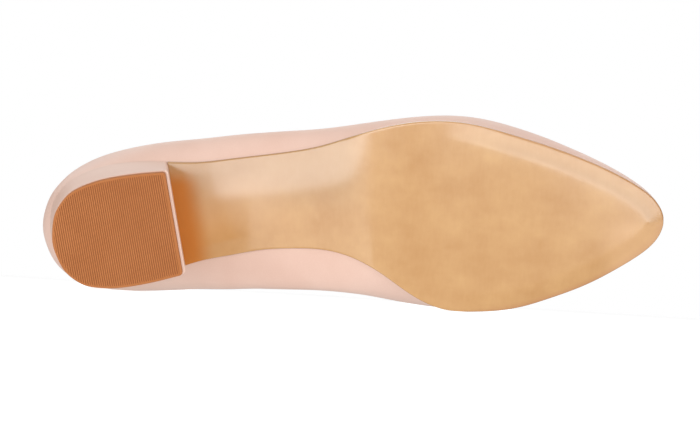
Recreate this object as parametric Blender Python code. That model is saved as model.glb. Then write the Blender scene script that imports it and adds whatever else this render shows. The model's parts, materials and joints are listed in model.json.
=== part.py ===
"""A low block-heel pump with an almond toe, for the right foot, lying on its inner side.

The shoe is modelled as it stands, in metres: X runs from the heel's back to the toe, +Y to the inner
side of the foot, and Z = 0 is the plane that the heel and the forefoot tread on. An empty then turns
the whole shoe onto its inner side, so that the sole faces -Y and the collar +Y.
"""

from math import cos, pi, radians, sin

import bmesh
import bpy
import numpy as np
from mathutils import Matrix, Vector

# Lengths along the shoe; the breast is where the top piece ends, and the heel block starts a little
# ahead of it at the bottom and is undercut towards the seat
LENGTH = 0.2924
BREAST_ALONG = 0.0657
BREAST_LIP = 0.0008
BREAST_UNDERCUT = 0.0010
HEEL_LENGTH = 0.0575
HEEL_SPREAD = 0.0042
SPRING_SHARE = 0.66
BALL_SHARE = 0.555

# Widths
BALL_WIDTH = 0.0883
HEEL_WIDTH = 0.0517
BREAST_ACROSS = 0.0004
TIP_ACROSS = -0.0006
CORNER_RADIUS = 0.002

# Heights and thicknesses
SEAT_HEIGHT = 0.0453
SEAT_SLOPE = 0.105
TOE_SPRING = 0.0072
SOLE_THICKNESS = 0.0034
SOLE_EDGE = 0.0019
FOREFOOT_ROUNDING = 0.009
WAIST_ROUNDING = 0.018
TOP_PIECE_THICKNESS = 0.006
INSOLE_THICKNESS = 0.0022
UPPER_WALL = 0.0017
COLLAR_RISE = 0.0592

# The heel's axis points outwards going forward, by this angle
HEEL_ANGLE = radians(-9.6)

# The upper's wall starts this far inside the sole's edge, solids that meet keep a gap, and the
# insole keeps a little more to the leaning wall
FEATHER_INSET = 0.001
FIT_GAP = 0.0003
INSOLE_EASE = 0.0007
TIP_TRIM = 0.0001

# Heel outline, back to breast: share of the heel's length, then of half its width
# at the floor and at the seat
HEEL_ROWS = (
    # along, floor, seat
    (0.000, 0.000, 0.000),
    (0.016, 0.250, 0.260),
    (0.060, 0.530, 0.545),
    (0.120, 0.700, 0.720),
    (0.200, 0.840, 0.870),
    (0.310, 0.930, 0.975),
    (0.450, 0.985, 1.045),
    (0.620, 1.000, 1.070),
    (0.800, 0.985, 1.040),
    (1.000, 0.945, 0.965),
)

# Sole outline, breast to toe: share of the way from breast to tip, then of the ball's width
SOLE_ROWS = (
    # along, outer side, inner side
    (0.047, 0.273, 0.258),
    (0.110, 0.294, 0.223),
    (0.172, 0.318, 0.189),
    (0.234, 0.345, 0.172),
    (0.296, 0.382, 0.168),
    (0.358, 0.437, 0.198),
    (0.420, 0.489, 0.275),
    (0.484, 0.524, 0.386),
    (0.546, 0.533, 0.456),
    (0.613, 0.513, 0.471),
    (0.691, 0.459, 0.456),
    (0.768, 0.396, 0.401),
    (0.840, 0.325, 0.333),
    (0.910, 0.240, 0.242),
    (0.955, 0.169, 0.171),
    (0.985, 0.099, 0.101),
)

# Wall sections of the upper, round the foot from the heel's back along the outer side to the toe
# and back along the inner side. The place is a share of the way round. The topline's place is a
# share of LENGTH along, of BALL_WIDTH across and of COLLAR_RISE above the sole. Lean is the wall's
# angle from upright at the sole, flare the same at the topline, both in degrees; foot_pull and
# top_pull say how far the wall follows them, as shares of COLLAR_RISE.
WALL_ROWS = (
    # place, along, across, rise, lean, foot_pull, flare, top_pull
    (0.000, 0.025, 0.079, 1.000, 31, 0.38, 14, 0.40),
    (0.032, 0.046, -0.114, 0.958, 23, 0.22, 12, 0.39),
    (0.062, 0.095, -0.223, 0.905, 20, 0.24, 12, 0.35),
    (0.102, 0.178, -0.278, 0.799, 32, 0.38, 12, 0.31),
    (0.148, 0.280, -0.308, 0.689, 46, 0.43, 12, 0.30),
    (0.202, 0.390, -0.324, 0.682, 50, 0.43, 12, 0.30),
    (0.256, 0.499, -0.325, 0.755, 30, 0.44, 14, 0.34),
    (0.306, 0.588, -0.293, 0.802, 22, 0.39, 24, 0.37),
    (0.356, 0.650, -0.222, 0.796, 22, 0.51, 45, 0.44),
    (0.418, 0.691, -0.119, 0.762, 27, 0.36, 62, 0.61),
    (0.503, 0.706, -0.011, 0.760, 22, 0.34, 70, 0.78),
    (0.588, 0.687, 0.091, 0.765, 9, 0.30, 62, 0.57),
    (0.649, 0.640, 0.181, 0.804, 1, 0.35, 45, 0.41),
    (0.701, 0.575, 0.257, 0.823, 26, 0.59, 24, 0.41),
    (0.754, 0.489, 0.300, 0.787, 63, 0.65, 16, 0.39),
    (0.808, 0.386, 0.338, 0.726, 68, 0.64, 14, 0.37),
    (0.856, 0.280, 0.354, 0.740, 71, 0.55, 12, 0.35),
    (0.900, 0.185, 0.366, 0.828, 48, 0.52, 12, 0.31),
    (0.941, 0.103, 0.334, 0.921, 39, 0.44, 12, 0.30),
    (0.975, 0.048, 0.243, 0.968, 35, 0.43, 12, 0.35),
)

# How finely the curved forms are cut
WALL_STEPS_ROUND = 104
WALL_STEPS_UP = 12
SOLE_STEPS = 46
HEEL_STEPS_BACK = 40
HEEL_LEVELS = 5
CORNER_STEPS = 3
OUTLINE_SAMPLES = 1200
SOLE_COLUMNS = (-1.0, -0.93, -0.84, -0.7, -0.36, 0.0, 0.36, 0.7, 0.84, 0.93, 1.0)
INSOLE_COLUMNS = (-1.0, -0.6, 0.0, 0.6, 1.0)

# Where the sole's stations lie: this share of them is even and the rest crowd towards the toe, and
# over the first share of the sole they turn from the breast's angle to square
EVEN_SHARE = 0.1
TURNING_SHARE = 0.3
TURNING_PASSES = 6

# The waist's wider rounding fades in over this share of the sole, ahead of the ball
WAIST_FADE_SHARE = 0.4

# How much closer the upper's sections stand at the heel's back and at the toe
END_CROWDING_SHARE = 0.48

# Edges sharper than this stay crisp
SHARP_ANGLE = radians(35)

# The shoe lies on its inner side: the floor's direction matches this one by at least the share
INNER_SIDE = Vector((0.0, 1.0, 0.0))
FACING_SHARE = 0.8

# Colours and roughness of the bare solids
SOLE_FINISH = ((0.72, 0.43, 0.21), 0.25)
SOCK_FINISH = ((0.78, 0.60, 0.45), 0.55)
UPPER_FINISH = ((0.83, 0.55, 0.46), 0.42)
COVER_FINISH = ((0.80, 0.55, 0.48), 0.42)
RUBBER_FINISH = ((0.42, 0.18, 0.07), 0.6)

HEEL_AXIS = np.array([cos(HEEL_ANGLE), sin(HEEL_ANGLE)])
HEEL_ACROSS = np.array([-sin(HEEL_ANGLE), cos(HEEL_ANGLE)])
BREAST_MIDDLE = np.array([BREAST_ALONG, BREAST_ACROSS])


def smooth(knots, values, places, period=None):
    """Read a cubic curve through the values; with a period it runs round and closes."""
    knots = np.asarray(knots, float)
    values = np.asarray(values, float)
    places = np.asarray(places, float)
    if period is not None:
        knots = np.append(knots, knots[0] + period)
        values = np.append(values, values[0])
        places = knots[0] + (places - knots[0]) % period
    count = len(knots)
    gaps = np.diff(knots)
    rises = np.diff(values) / gaps
    system = np.zeros((count, count))
    wanted = np.zeros(count)
    for i in range(1, count - 1):
        system[i, i - 1] = 1 / gaps[i - 1]
        system[i, i] = 2 / gaps[i - 1] + 2 / gaps[i]
        system[i, i + 1] = 1 / gaps[i]
        wanted[i] = 3 * (rises[i - 1] / gaps[i - 1] + rises[i] / gaps[i])
    if period is None:
        system[0, 0:2] = (2, 1)
        wanted[0] = 3 * rises[0]
        system[-1, -2:] = (1, 2)
        wanted[-1] = 3 * rises[-1]
    else:
        system[0, 0] = 1
        system[0, -1] = -1
        system[-1, 0:2] = (2 / gaps[0], 1 / gaps[0])
        system[-1, -2:] = (1 / gaps[-1], 2 / gaps[-1])
        wanted[-1] = 3 * (rises[0] / gaps[0] + rises[-1] / gaps[-1])
    slopes = np.linalg.solve(system, wanted)
    cell = np.clip(np.searchsorted(knots, places, side="right") - 1, 0, count - 2)
    t = (places - knots[cell]) / gaps[cell]
    start, end = values[cell], values[cell + 1]
    pull, push = slopes[cell] * gaps[cell], slopes[cell + 1] * gaps[cell]
    blend = 3 * t**2 - 2 * t**3
    return start * (1 - blend) + end * blend + pull * (t**3 - 2 * t**2 + t) + push * (t**3 - t**2)


def sole_place(share):
    """The place along the shoe of a share of the way from heel breast to toe tip."""
    return BREAST_ALONG + share * (LENGTH - BREAST_ALONG)


def seat_line(along):
    """Height of the sole's top, seen from the side: seat, waist, tread and toe spring."""
    along = np.asarray(along, float)
    waist_start = BREAST_ALONG + HEEL_WIDTH / 2 * abs(sin(HEEL_ANGLE))
    ball = sole_place(BALL_SHARE)
    spring = sole_place(SPRING_SHARE)
    seat = SEAT_HEIGHT - SEAT_SLOPE * (along - BREAST_ALONG)
    top = SEAT_HEIGHT - SEAT_SLOPE * (waist_start - BREAST_ALONG)
    reach = ball - waist_start
    t = np.clip((along - waist_start) / reach, 0, 1)
    blend = 3 * t**2 - 2 * t**3
    waist = top * (1 - blend) + SOLE_THICKNESS * blend - SEAT_SLOPE * reach * (t**3 - 2 * t**2 + t)
    lift = np.clip((along - spring) / (LENGTH - spring), 0, None)
    toe = SOLE_THICKNESS + TOE_SPRING * lift**2
    return np.where(along < waist_start, seat, np.where(along < ball, waist, toe))


def breast_ahead(level):
    """How far the heel block's breast lies ahead of the top piece, from floor (0) to seat (1)."""
    return BREAST_LIP * (1 - level) - BREAST_UNDERCUT * level


def heel_side(level, side, ahead):
    """Heel outline points in plan, back to breast, at a level from floor (0) to seat (1)."""
    points = []
    for along, floor, seat in HEEL_ROWS:
        half = (floor * (1 - level) + seat * level) * HEEL_WIDTH / 2
        back = (1 - along) * (HEEL_LENGTH + HEEL_SPREAD * level + ahead) - ahead
        points.append(BREAST_MIDDLE - HEEL_AXIS * back + HEEL_ACROSS * half * side)
    return points


def shoe_outline():
    """The lasted outline in plan: round the heel seat, outer sole edge, toe and inner sole edge."""
    points = heel_side(1, -1, breast_ahead(1))
    points += [np.array([sole_place(s), -outer * BALL_WIDTH]) for s, outer, _ in SOLE_ROWS]
    points.append(np.array([LENGTH, TIP_ACROSS]))
    points += [np.array([sole_place(s), inner * BALL_WIDTH]) for s, _, inner in reversed(SOLE_ROWS)]
    points += heel_side(1, 1, breast_ahead(1))[:0:-1]
    points = np.array(points)
    closed = np.vstack([points, points[:1]])
    chords = np.hypot(*np.diff(closed, axis=0).T)
    knots = np.concatenate([[0], np.cumsum(chords)])
    places = np.linspace(0, knots[-1], OUTLINE_SAMPLES, endpoint=False)
    return np.stack([smooth(knots[:-1], points[:, i], places, knots[-1]) for i in (0, 1)], axis=1)


OUTLINE = shoe_outline()


def way_round(points):
    """Share of the way round a closed outline at each of its points."""
    steps = np.hypot(*(np.roll(points, -1, axis=0) - points).T)
    return np.concatenate([[0], np.cumsum(steps)[:-1]]) / steps.sum()


def outward(points):
    """Outward directions in plan of a closed outline that runs heel, outer side, toe, inner side."""
    along = np.roll(points, -1, axis=0) - np.roll(points, 1, axis=0)
    along /= np.linalg.norm(along, axis=1)[:, None]
    return np.stack([along[:, 1], -along[:, 0]], axis=1)


def flat(vectors):
    """Plan vectors with a zero height."""
    return np.column_stack([vectors, np.zeros(len(vectors))])


def places_round(count):
    """Shares of the way round, closer together at the heel's back and at the toe."""
    even = np.arange(count) / count
    return even - END_CROWDING_SHARE / (4 * pi) * np.sin(4 * pi * even)


def wall_surface(places, depth):
    """Grid of points of the upper's wall, foot to topline, at a depth inside its outer face."""
    table = np.array(WALL_ROWS)
    columns = [smooth(table[:, 0], table[:, i], places, 1.0) for i in range(1, table.shape[1])]
    along, across, rise, lean, foot_pull, flare, top_pull = columns
    round_at = way_round(OUTLINE)
    edge = np.stack([np.interp(places, round_at, OUTLINE[:, i], period=1) for i in (0, 1)], axis=1)
    facing = outward(OUTLINE)
    facing = np.stack([np.interp(places, round_at, facing[:, i], period=1) for i in (0, 1)], axis=1)
    facing /= np.linalg.norm(facing, axis=1)[:, None]
    topline = np.stack([along * LENGTH, across * BALL_WIDTH], axis=1)
    foot_out, top_out = flat(facing), flat(outward(topline))
    up = np.array([0.0, 0.0, 1.0])
    lean, flare = np.radians(lean)[:, None], np.radians(flare)[:, None]
    foot_way = foot_out * np.sin(lean) + up * np.cos(lean)
    top_way = top_out * np.sin(flare) - up * np.cos(flare)

    plan = edge - facing * FEATHER_INSET
    foot = np.column_stack([plan, seat_line(plan[:, 0]) + FIT_GAP])
    top = np.column_stack([topline, seat_line(topline[:, 0]) + rise * COLLAR_RISE])
    lower = foot + foot_way * (foot_pull * COLLAR_RISE)[:, None]
    upper = top + top_way * (top_pull * COLLAR_RISE)[:, None]

    foot_face = foot_out * np.cos(lean) - up * np.sin(lean)
    top_face = top_out * np.cos(flare) + up * np.sin(flare)
    foot = foot - foot_out * depth / np.cos(lean)
    foot[:, 2] = seat_line(foot[:, 0]) + FIT_GAP
    lower = lower - foot_face * depth
    upper = upper - top_face * depth
    top = top - top_face * depth

    t = np.linspace(0, 1, WALL_STEPS_UP + 1)[:, None, None]
    return foot * (1 - t)**3 + 3 * lower * t * (1 - t)**2 + 3 * upper * t**2 * (1 - t) + top * t**3


def side_edges(ring, along):
    """Outer and inner side of a closed outline at places along the shoe."""
    back, tip = int(np.argmin(ring[:, 0])), int(np.argmax(ring[:, 0]))
    turned = np.roll(ring, -back, axis=0)
    tip = (tip - back) % len(ring)
    outer = turned[:tip + 1]
    inner = np.vstack([turned[tip:], turned[:1]])[::-1]
    return np.interp(along, outer[:, 0], outer[:, 1]), np.interp(along, inner[:, 0], inner[:, 1])


def edge_distance(points):
    """Distance in plan of each point from the shoe's outline."""
    gaps = points[:, None, :] - OUTLINE[None, :, :]
    return np.sqrt((gaps**2).sum(axis=2)).min(axis=1)


def add_solid(name, points, faces, finish, shoe):
    """Make one closed solid with its own material, carried by the shoe's empty."""
    mesh = bpy.data.meshes.new(name)
    mesh.from_pydata([tuple(p) for p in points], [], faces)
    form = bmesh.new()
    form.from_mesh(mesh)
    bmesh.ops.recalc_face_normals(form, faces=form.faces)
    bmesh.ops.triangulate(form, faces=form.faces)
    form.to_mesh(mesh)
    form.free()
    mesh.shade_smooth()
    mesh.set_sharp_from_angle(angle=SHARP_ANGLE)
    solid = bpy.data.objects.new(name, mesh)
    bpy.context.collection.objects.link(solid)
    solid.parent = shoe
    material = bpy.data.materials.new(name)
    material.use_nodes = True
    surface = material.node_tree.nodes["Principled BSDF"]
    colour, roughness = finish
    surface.inputs["Base Color"].default_value = (*colour, 1.0)
    surface.inputs["Roughness"].default_value = roughness
    surface.inputs["Metallic"].default_value = 0.0
    mesh.materials.append(material)
    return solid


def grid_faces(rows, columns, start=0, closed=False):
    """Quads between the neighbouring rows of a grid of points."""
    faces = []
    for i in range(rows - 1):
        for j in range(columns if closed else columns - 1):
            k = (j + 1) % columns
            here, there = start + i * columns, start + (i + 1) * columns
            faces.append((here + j, here + k, there + k, there + j))
    return faces


def band_faces(first, second):
    """Quads between two closed rings of point numbers."""
    count = len(first)
    return [(first[i], first[(i + 1) % count], second[(i + 1) % count], second[i]) for i in range(count)]


def slab(lower, upper):
    """Points and faces of a slab between two grids of the same shape."""
    rows, columns = lower.shape[:2]
    count = rows * columns
    points = np.vstack([lower.reshape(-1, 3), upper.reshape(-1, 3)])
    faces = grid_faces(rows, columns) + grid_faces(rows, columns, count)
    rim = list(range(columns))
    rim += [i * columns + columns - 1 for i in range(1, rows)]
    rim += [(rows - 1) * columns + j for j in range(columns - 2, -1, -1)]
    rim += [i * columns for i in range(rows - 2, 0, -1)]
    faces += band_faces(rim, [count + i for i in rim])
    return points, faces


def make_upper(shoe):
    """The hollow upper: one wall of real thickness, open at the collar and underneath."""
    places = places_round(WALL_STEPS_ROUND)
    outer = wall_surface(places, 0.0)
    inner = wall_surface(places, UPPER_WALL)
    rows, columns = outer.shape[:2]
    count = rows * columns
    points = np.vstack([outer.reshape(-1, 3), inner.reshape(-1, 3)])
    faces = grid_faces(rows, columns, closed=True) + grid_faces(rows, columns, count, closed=True)
    foot = list(range(columns))
    topline = [(rows - 1) * columns + j for j in range(columns)]
    faces += band_faces(foot, [count + i for i in foot])
    faces += band_faces(topline, [count + i for i in topline])
    return add_solid("upper", points, faces, UPPER_FINISH, shoe)


def make_outsole(shoe):
    """The leather sole, from the heel's breast to the toe, with rolled edges."""
    share = np.linspace(0, 1, SOLE_STEPS + 1)
    share = EVEN_SHARE * share + (1 - EVEN_SHARE) * np.sin(share * pi / 2)
    underside = 1 - SOLE_THICKNESS / SEAT_HEIGHT
    start = BREAST_ALONG + (breast_ahead(underside) + FIT_GAP) / cos(HEEL_ANGLE)
    centre = start + share * (LENGTH - TIP_TRIM - start)
    skew = -np.tan(HEEL_ANGLE) * np.clip(1 - share / TURNING_SHARE, 0, 1)**2
    columns = np.array(SOLE_COLUMNS)
    outer, inner = np.zeros_like(centre), np.zeros_like(centre)
    for _ in range(TURNING_PASSES):
        outer = side_edges(OUTLINE, centre + skew * (outer - BREAST_ACROSS))[0]
        inner = side_edges(OUTLINE, centre + skew * (inner - BREAST_ACROSS))[1]
    across = (outer + inner)[:, None] / 2 + (inner - outer)[:, None] / 2 * columns
    along = centre[:, None] + skew[:, None] * (across - BREAST_ACROSS)
    top = seat_line(along)

    reach = edge_distance(np.stack([along.ravel(), across.ravel()], axis=1)).reshape(along.shape)
    fade = WAIST_FADE_SHARE * (LENGTH - BREAST_ALONG)
    waist = np.clip((sole_place(BALL_SHARE) - along) / fade, 0, 1)
    rounding = FOREFOOT_ROUNDING + (WAIST_ROUNDING - FOREFOOT_ROUNDING) * waist
    inwards = np.clip(reach / rounding, 0, 1)
    thickness = SOLE_EDGE + (SOLE_THICKNESS - SOLE_EDGE) * np.sin(inwards * pi / 2)
    lower = np.stack([along, across, top - thickness], axis=2)
    upper = np.stack([along, across, top], axis=2)
    points, faces = slab(lower, upper)
    return add_solid("outsole", points, faces, SOLE_FINISH, shoe)


def make_insole(shoe):
    """The insole board inside the upper's foot, following the last's underside."""
    ring = wall_surface(places_round(WALL_STEPS_ROUND), UPPER_WALL)[0][:, :2]
    ring = ring - outward(ring) * INSOLE_EASE
    share = (1 - np.cos(np.linspace(0, pi, SOLE_STEPS + 1))) / 2
    back, tip = ring[:, 0].min() + TIP_TRIM, ring[:, 0].max() - TIP_TRIM
    along = back + share * (tip - back)
    outer, inner = side_edges(ring, along)
    columns = np.array(INSOLE_COLUMNS)
    across = (outer + inner)[:, None] / 2 + (inner - outer)[:, None] / 2 * columns
    along = np.repeat(along[:, None], len(columns), axis=1)
    under = seat_line(along) + FIT_GAP
    lower = np.stack([along, across, under], axis=2)
    upper = np.stack([along, across, under + INSOLE_THICKNESS], axis=2)
    points, faces = slab(lower, upper)
    return add_solid("insole", points, faces, SOCK_FINISH, shoe)


def corner_points(leave, corner, arrive):
    """Points of a rounded corner, without its two ends."""
    t = np.linspace(0, 1, CORNER_STEPS + 1)[1:-1, None]
    return list(leave * (1 - t)**2 + 2 * corner * t * (1 - t) + arrive * t**2)


def heel_ring(level, ahead):
    """Closed heel outline in plan at a level: round back, straight breast with rounded corners."""
    controls = np.array(heel_side(level, -1, ahead)[::-1] + heel_side(level, 1, ahead)[1:])
    chords = np.hypot(*np.diff(controls, axis=0).T)
    knots = np.concatenate([[0], np.cumsum(chords)])
    places = np.linspace(CORNER_RADIUS, knots[-1] - CORNER_RADIUS, HEEL_STEPS_BACK + 1)
    curve = np.stack([smooth(knots, controls[:, i], places) for i in (0, 1)], axis=1)
    outer_corner, inner_corner = controls[0], controls[-1]
    inner_end = inner_corner - HEEL_ACROSS * CORNER_RADIUS
    outer_end = outer_corner + HEEL_ACROSS * CORNER_RADIUS
    ring = list(curve) + corner_points(curve[-1], inner_corner, inner_end)
    ring += [inner_end, outer_end] + corner_points(outer_end, outer_corner, curve[0])
    return np.array(ring)


def loft(rings):
    """Points and faces of a solid through closed rings, bottom to top, with flat ends."""
    columns = len(rings[0])
    points = np.vstack(rings)
    faces = grid_faces(len(rings), columns, closed=True)
    faces.append(tuple(range(columns)))
    faces.append(tuple((len(rings) - 1) * columns + j for j in range(columns)))
    return points, faces


def make_top_piece(shoe):
    """The rubber top piece that the heel treads on."""
    plan = heel_ring(0, 0.0)
    rings = [np.column_stack([plan, np.full(len(plan), z)]) for z in (0.0, TOP_PIECE_THICKNESS)]
    points, faces = loft(rings)
    return add_solid("top_piece", points, faces, RUBBER_FINISH, shoe)


def make_heel_block(shoe):
    """The covered block heel, from the top piece up to the seat."""
    rings = []
    for level in np.linspace(0, 1, HEEL_LEVELS):
        plan = heel_ring(level, breast_ahead(level))
        bottom = TOP_PIECE_THICKNESS + FIT_GAP
        height = bottom + level * (seat_line(plan[:, 0]) - bottom)
        rings.append(np.column_stack([plan, height]))
    points, faces = loft(rings)
    return add_solid("heel_block", points, faces, COVER_FINISH, shoe)


def lie_down(shoe, solids):
    """Turn the shoe onto the steady facet of its convex hull that faces the inner side."""
    weight, middle = 0.0, Vector()
    hull = bmesh.new()
    for solid in solids:
        for vertex in solid.data.vertices:
            hull.verts.new(vertex.co)
        for triangle in solid.data.polygons:
            a, b, c = (solid.data.vertices[i].co for i in triangle.vertices)
            volume = a.dot(b.cross(c)) / 6
            weight += volume
            middle += (a + b + c) / 4 * volume
    middle /= weight
    result = bmesh.ops.convex_hull(hull, input=hull.verts)
    skin = [part for part in result["geom"] if isinstance(part, bmesh.types.BMFace)]
    down, near = INNER_SIDE, None
    for face in skin:
        face.normal_update()
        normal = face.normal.copy()
        reach = normal.dot(face.verts[0].co - middle)
        if reach < 0:
            normal, reach = -normal, -reach
        if normal.dot(INNER_SIDE) > FACING_SHARE and (near is None or reach < near):
            down, near = normal, reach
    hull.free()
    up = -down
    forward = Vector((1.0, 0.0, 0.0))
    forward = (forward - up * forward.dot(up)).normalized()
    turn = Matrix((forward, up.cross(forward), up))
    corners = [turn @ vertex.co for solid in solids for vertex in solid.data.vertices]
    low = [min(c[i] for c in corners) for i in range(3)]
    high = [max(c[i] for c in corners) for i in range(3)]
    shoe.rotation_euler = turn.to_euler()
    shoe.location = (-(low[0] + high[0]) / 2, -(low[1] + high[1]) / 2, -low[2])


def main():
    """Clear the scene and build the shoe, lying on its inner side."""
    for leftover in list(bpy.data.objects):
        bpy.data.objects.remove(leftover, do_unlink=True)
    shoe = bpy.data.objects.new("shoe", None)
    bpy.context.collection.objects.link(shoe)
    makers = (make_outsole, make_insole, make_upper, make_heel_block, make_top_piece)
    solids = [make(shoe) for make in makers]
    lie_down(shoe, solids)
    bpy.context.view_layer.update()


main()
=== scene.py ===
"""Looks of the block-heel pump: fine surfaces, leather and rubber, soft studio light and the camera."""

import json
from math import atan2, cos, pi, radians, sin, tan

import bmesh
import bpy
import numpy as np
from mathutils import Matrix, Vector


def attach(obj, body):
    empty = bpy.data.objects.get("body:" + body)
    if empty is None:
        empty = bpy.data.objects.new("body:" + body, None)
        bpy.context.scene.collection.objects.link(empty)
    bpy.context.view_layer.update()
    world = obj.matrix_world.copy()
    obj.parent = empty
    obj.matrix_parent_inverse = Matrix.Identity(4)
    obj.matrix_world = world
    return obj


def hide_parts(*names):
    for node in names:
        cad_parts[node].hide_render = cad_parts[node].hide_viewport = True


# Sizes of the shoe in metres, as it stands: X to the toe, +Y to the inner side, treading on Z = 0
LENGTH = 0.2924
BREAST_ALONG = 0.0657
BREAST_LIP = 0.0008
BREAST_UNDERCUT = 0.0010
HEEL_LENGTH = 0.0575
HEEL_SPREAD = 0.0042
SPRING_SHARE = 0.66
BALL_SHARE = 0.555
BALL_WIDTH = 0.0883
HEEL_WIDTH = 0.0517
BREAST_ACROSS = 0.0004
TIP_ACROSS = -0.0006
CORNER_RADIUS = 0.002
SEAT_HEIGHT = 0.0453
SEAT_SLOPE = 0.105
TOE_SPRING = 0.0072
SOLE_THICKNESS = 0.0034
SOLE_EDGE = 0.0019
TOP_PIECE_THICKNESS = 0.006
INSOLE_THICKNESS = 0.0022
UPPER_WALL = 0.0017
COLLAR_RISE = 0.0592
HEEL_ANGLE = radians(-9.6)
FEATHER_INSET = 0.001
FIT_GAP = 0.0003
INSOLE_EASE = 0.0007
TIP_TRIM = 0.0001

# Heel outline, back to breast: share of the heel's length, then of half its width
HEEL_ROWS = (
    # along, floor, seat
    (0.000, 0.000, 0.000),
    (0.016, 0.250, 0.260),
    (0.060, 0.530, 0.545),
    (0.120, 0.700, 0.720),
    (0.200, 0.840, 0.870),
    (0.310, 0.930, 0.975),
    (0.450, 0.985, 1.045),
    (0.620, 1.000, 1.070),
    (0.800, 0.985, 1.040),
    (1.000, 0.945, 0.965),
)

# Sole outline, breast to toe: share of the way from breast to tip, then of the ball's width
SOLE_ROWS = (
    # along, outer side, inner side
    (0.047, 0.273, 0.258),
    (0.110, 0.294, 0.223),
    (0.172, 0.318, 0.189),
    (0.234, 0.345, 0.172),
    (0.296, 0.382, 0.168),
    (0.358, 0.437, 0.198),
    (0.420, 0.489, 0.275),
    (0.484, 0.524, 0.386),
    (0.546, 0.533, 0.456),
    (0.613, 0.513, 0.471),
    (0.691, 0.459, 0.456),
    (0.768, 0.396, 0.401),
    (0.840, 0.325, 0.333),
    (0.910, 0.240, 0.242),
    (0.955, 0.169, 0.171),
    (0.985, 0.099, 0.101),
)

# Wall sections of the upper, round the foot from the heel's back along the outer side
WALL_ROWS = (
    # place, along, across, rise, lean, foot_pull, flare, top_pull
    (0.000, 0.025, 0.079, 1.000, 31, 0.38, 14, 0.40),
    (0.032, 0.046, -0.114, 0.958, 23, 0.22, 12, 0.39),
    (0.062, 0.095, -0.223, 0.905, 20, 0.24, 12, 0.35),
    (0.102, 0.178, -0.278, 0.799, 32, 0.38, 12, 0.31),
    (0.148, 0.280, -0.308, 0.689, 46, 0.43, 12, 0.30),
    (0.202, 0.390, -0.324, 0.682, 50, 0.43, 12, 0.30),
    (0.256, 0.499, -0.325, 0.755, 30, 0.44, 14, 0.34),
    (0.306, 0.588, -0.293, 0.802, 22, 0.39, 24, 0.37),
    (0.356, 0.650, -0.222, 0.796, 22, 0.51, 45, 0.44),
    (0.418, 0.691, -0.119, 0.762, 27, 0.36, 62, 0.61),
    (0.503, 0.706, -0.011, 0.760, 22, 0.34, 70, 0.78),
    (0.588, 0.687, 0.091, 0.765, 9, 0.30, 62, 0.57),
    (0.649, 0.640, 0.181, 0.804, 1, 0.35, 45, 0.41),
    (0.701, 0.575, 0.257, 0.823, 26, 0.59, 24, 0.41),
    (0.754, 0.489, 0.300, 0.787, 63, 0.65, 16, 0.39),
    (0.808, 0.386, 0.338, 0.726, 68, 0.64, 14, 0.37),
    (0.856, 0.280, 0.354, 0.740, 71, 0.55, 12, 0.35),
    (0.900, 0.185, 0.366, 0.828, 48, 0.52, 12, 0.31),
    (0.941, 0.103, 0.334, 0.921, 39, 0.44, 12, 0.30),
    (0.975, 0.048, 0.243, 0.968, 35, 0.43, 12, 0.35),
)

# How much of the pink's red, green and blue is left on the heel
HEEL_TONE = (0.96, 0.93, 0.89)

# Where the record's two rest faces lie on the tread plane of the standing shoe
HEEL_REST = (0.040, 0.005)
FOREFOOT_REST = (0.204, -0.002)

# How finely the surfaces are cut
OUTLINE_SAMPLES = 1600
POINTS_AT_ONCE = 1500
WALL_STEPS_ROUND = 420
WALL_STEPS_UP = 46
RIM_STEPS = 6
SOLE_STEPS = 300
SOLE_FILL_STEPS = 10
SOCK_STEPS = 160
SOCK_STEPS_ACROSS = 30
HEEL_STEPS_BACK = 150
HEEL_LEVELS = 24
HEEL_EDGE_STEPS = 5
BREAST_STEPS = 26
CORNER_STEPS = 8
TREAD_FILL_STEPS = 6
END_CROWDING_SHARE = 0.48
EVEN_SHARE = 0.1
TURNING_SHARE = 0.3
TURNING_PASSES = 6

# Places of the lines across the sole and the tread, in from a side and below shares of half the width
SOLE_SIDE_STEPS = (
    0, 0.00006, 0.00016, 0.00032, 0.0006, 0.0011, 0.0018, 0.0027, 0.0038,
    0.005, 0.0062, 0.0073, 0.0082, 0.0089, 0.0096, 0.0105, 0.012, 0.014,
)
SOLE_SIDE_SHARE = 0.62
SOLE_SIDE_POWER = 1.6
TREAD_SIDE_STEPS = (0, 0.00008, 0.0002, 0.0004, 0.0008, 0.00125, 0.00145)
TREAD_SIDE_SHARE = 0.7

# Fine forms of the sole; a pair says where along the shoe a change begins and ends
BEVEL_REACH = 0.0080
BEVEL_SOFTNESS = 0.10
BEVEL_START = (0.188, 0.226)
CROWN_REACH = 0.0225
CROWN_END = (0.142, 0.1575)
SEAT_FULLNESS = 0.0008
WAIST_THINNING = 0.0007
SEAT_TO_WAIST = (0.064, 0.110)
WAIST_TO_BALL = (0.110, 0.150)
SOLE_EDGE_RADIUS = 0.0006
SOLE_END_GAP = 0.00005

# Tones of the sole, its darker edge, painted shade and painted sheen: places in metres, and across the
# sole from its outer (0) to its inner side (1)
SHADED_CORNER_AHEAD = (0.0150, 0.0035)
SHADED_CORNER_ACROSS = (0.02, 0.25)
INNER_SHADE_AHEAD = (0.036, 0.012)
INNER_SHADE_ACROSS = (0.35, 0.75)
SHEEN_AHEAD = (0.006, 0.015)
SHEEN_END_AHEAD = (0.060, 0.026)
SHEEN_OUTER = (0.08, 0.42)
SHEEN_INNER = (1.0, 0.45)
SHEEN_SHARE = 0.85
TOE_ALONG = (0.258, 0.276)
TOE_SHEEN_ACROSS = (0.40, 0.64)
TOE_SHEEN_SHARE = 0.75
RIM_WIDTH = 0.0012
RIM_INNER_EXTRA = 0.0012
RIM_TOE_EXTRA = 0.0014
RIM_ACROSS = (0.5, 0.7)
RIM_WAIST_SHARE = 0.1
RIDGE_REACH = 0.0070
RIDGE_WIDTH = 0.0024
RIDGE_SHARE = 0.55
BAND_SHARE = 0.2
BAND_RISE = 2.5
BAND_ACROSS = (0.6, 0.4)
WAIST_BAND_ACROSS = (0.75, 0.25)

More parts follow.
